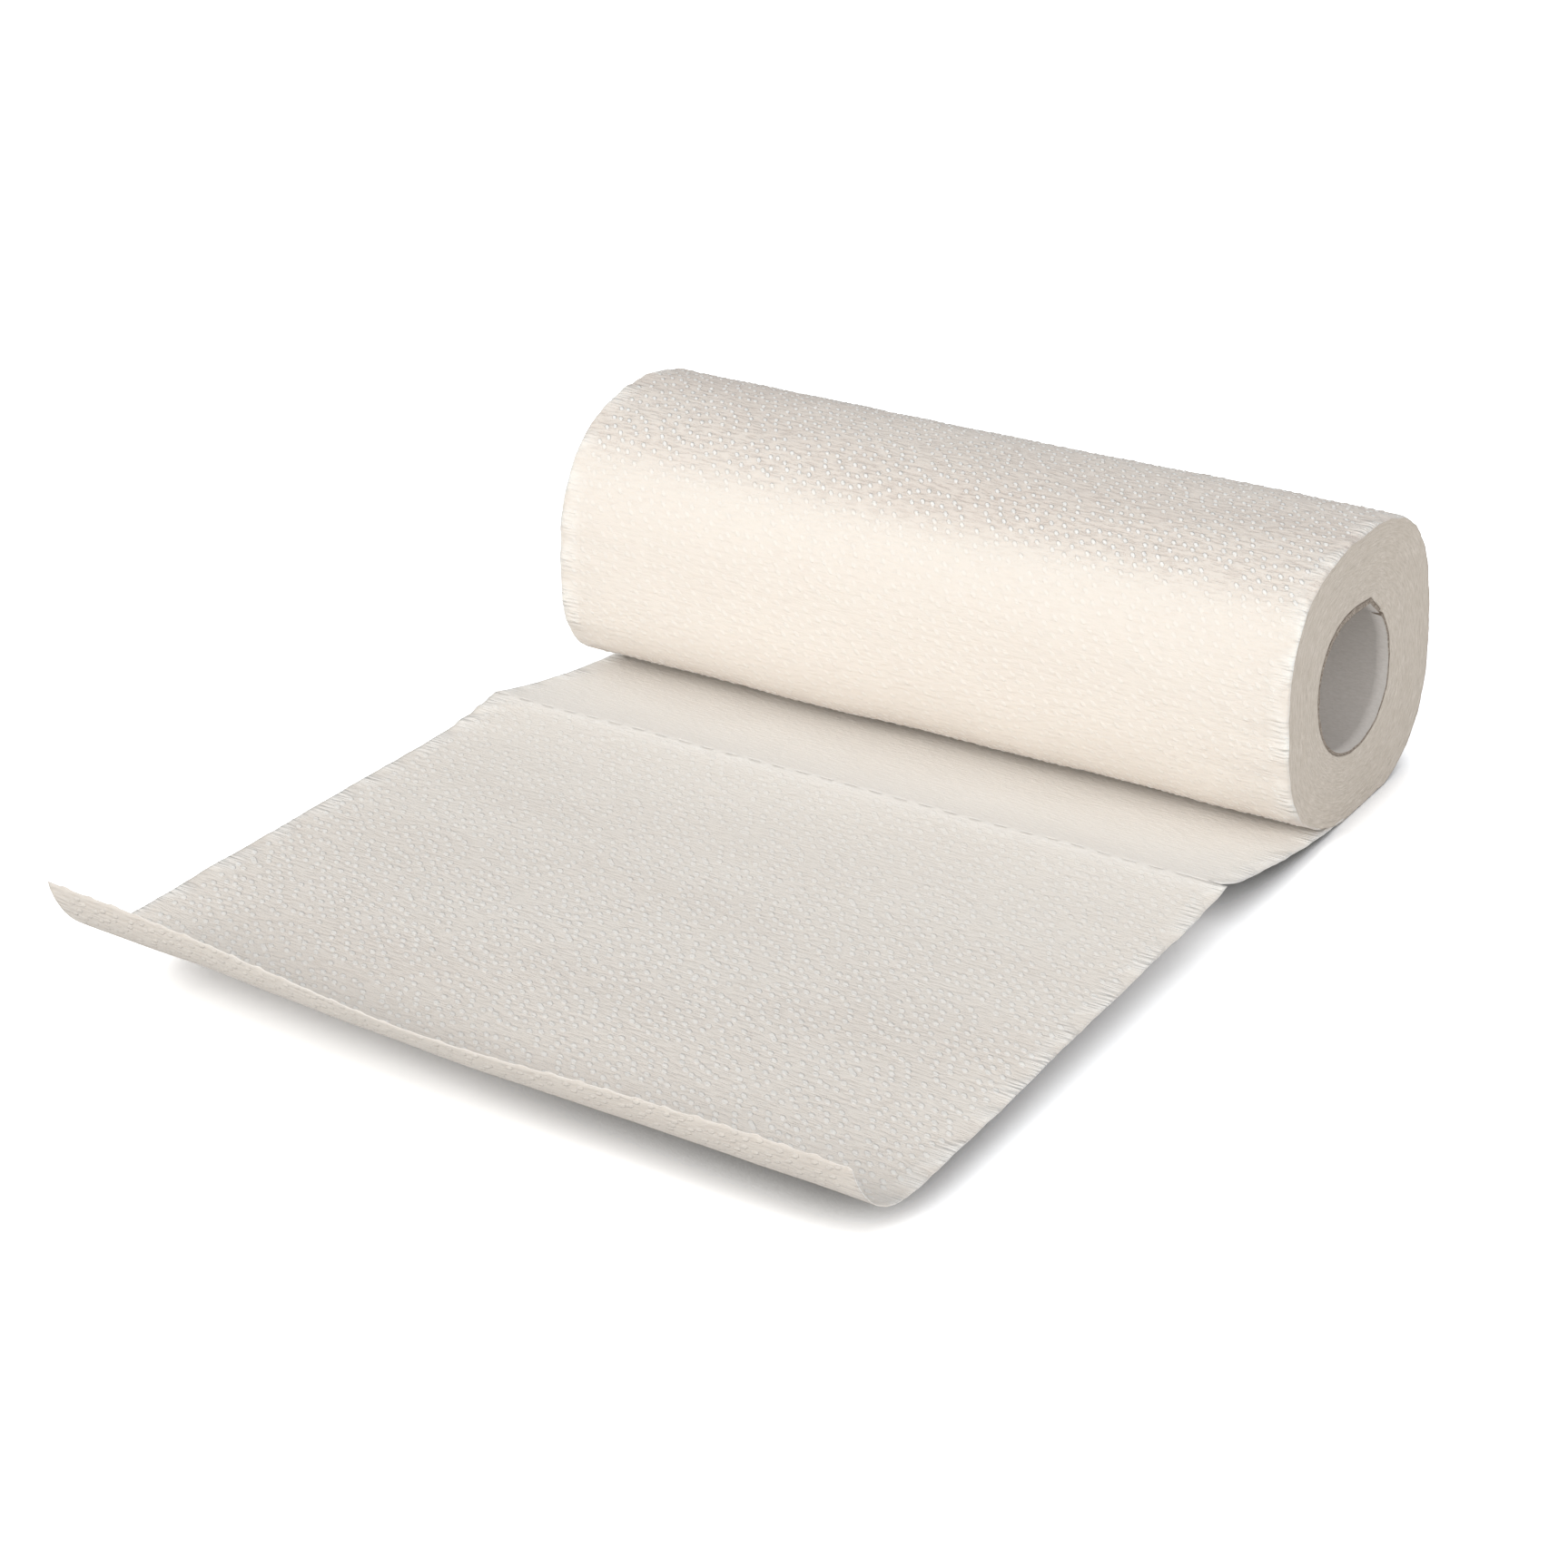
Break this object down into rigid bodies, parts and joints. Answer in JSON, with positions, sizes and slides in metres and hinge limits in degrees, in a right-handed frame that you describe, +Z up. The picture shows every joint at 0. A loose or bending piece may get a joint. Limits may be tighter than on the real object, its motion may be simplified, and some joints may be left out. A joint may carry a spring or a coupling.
{
  "type": "paper towel roll",
  "caption": "Squashed roll of embossed paper towel on a cardboard tube, lying on its side with the last sheet pulled out in front and its free end curled up.",
  "frame": {"origin": "middle of the small flat spot under the roll, which it rests on", "axes": "X along the roll, the pulled-out sheet leaves towards -Y, +Z up"},
  "size_m": [0.225, 0.3116, 0.083],
  "materials": {
    "tissue_paper": "matt two-ply tissue with a fine raised dot emboss",
    "tube_board": "matt grey-brown recycled board"
  },
  "bodies": {
    "root": {"towel_web": "tissue_paper", "core_tube": "tube_board"}
  },
  "joints": []
}
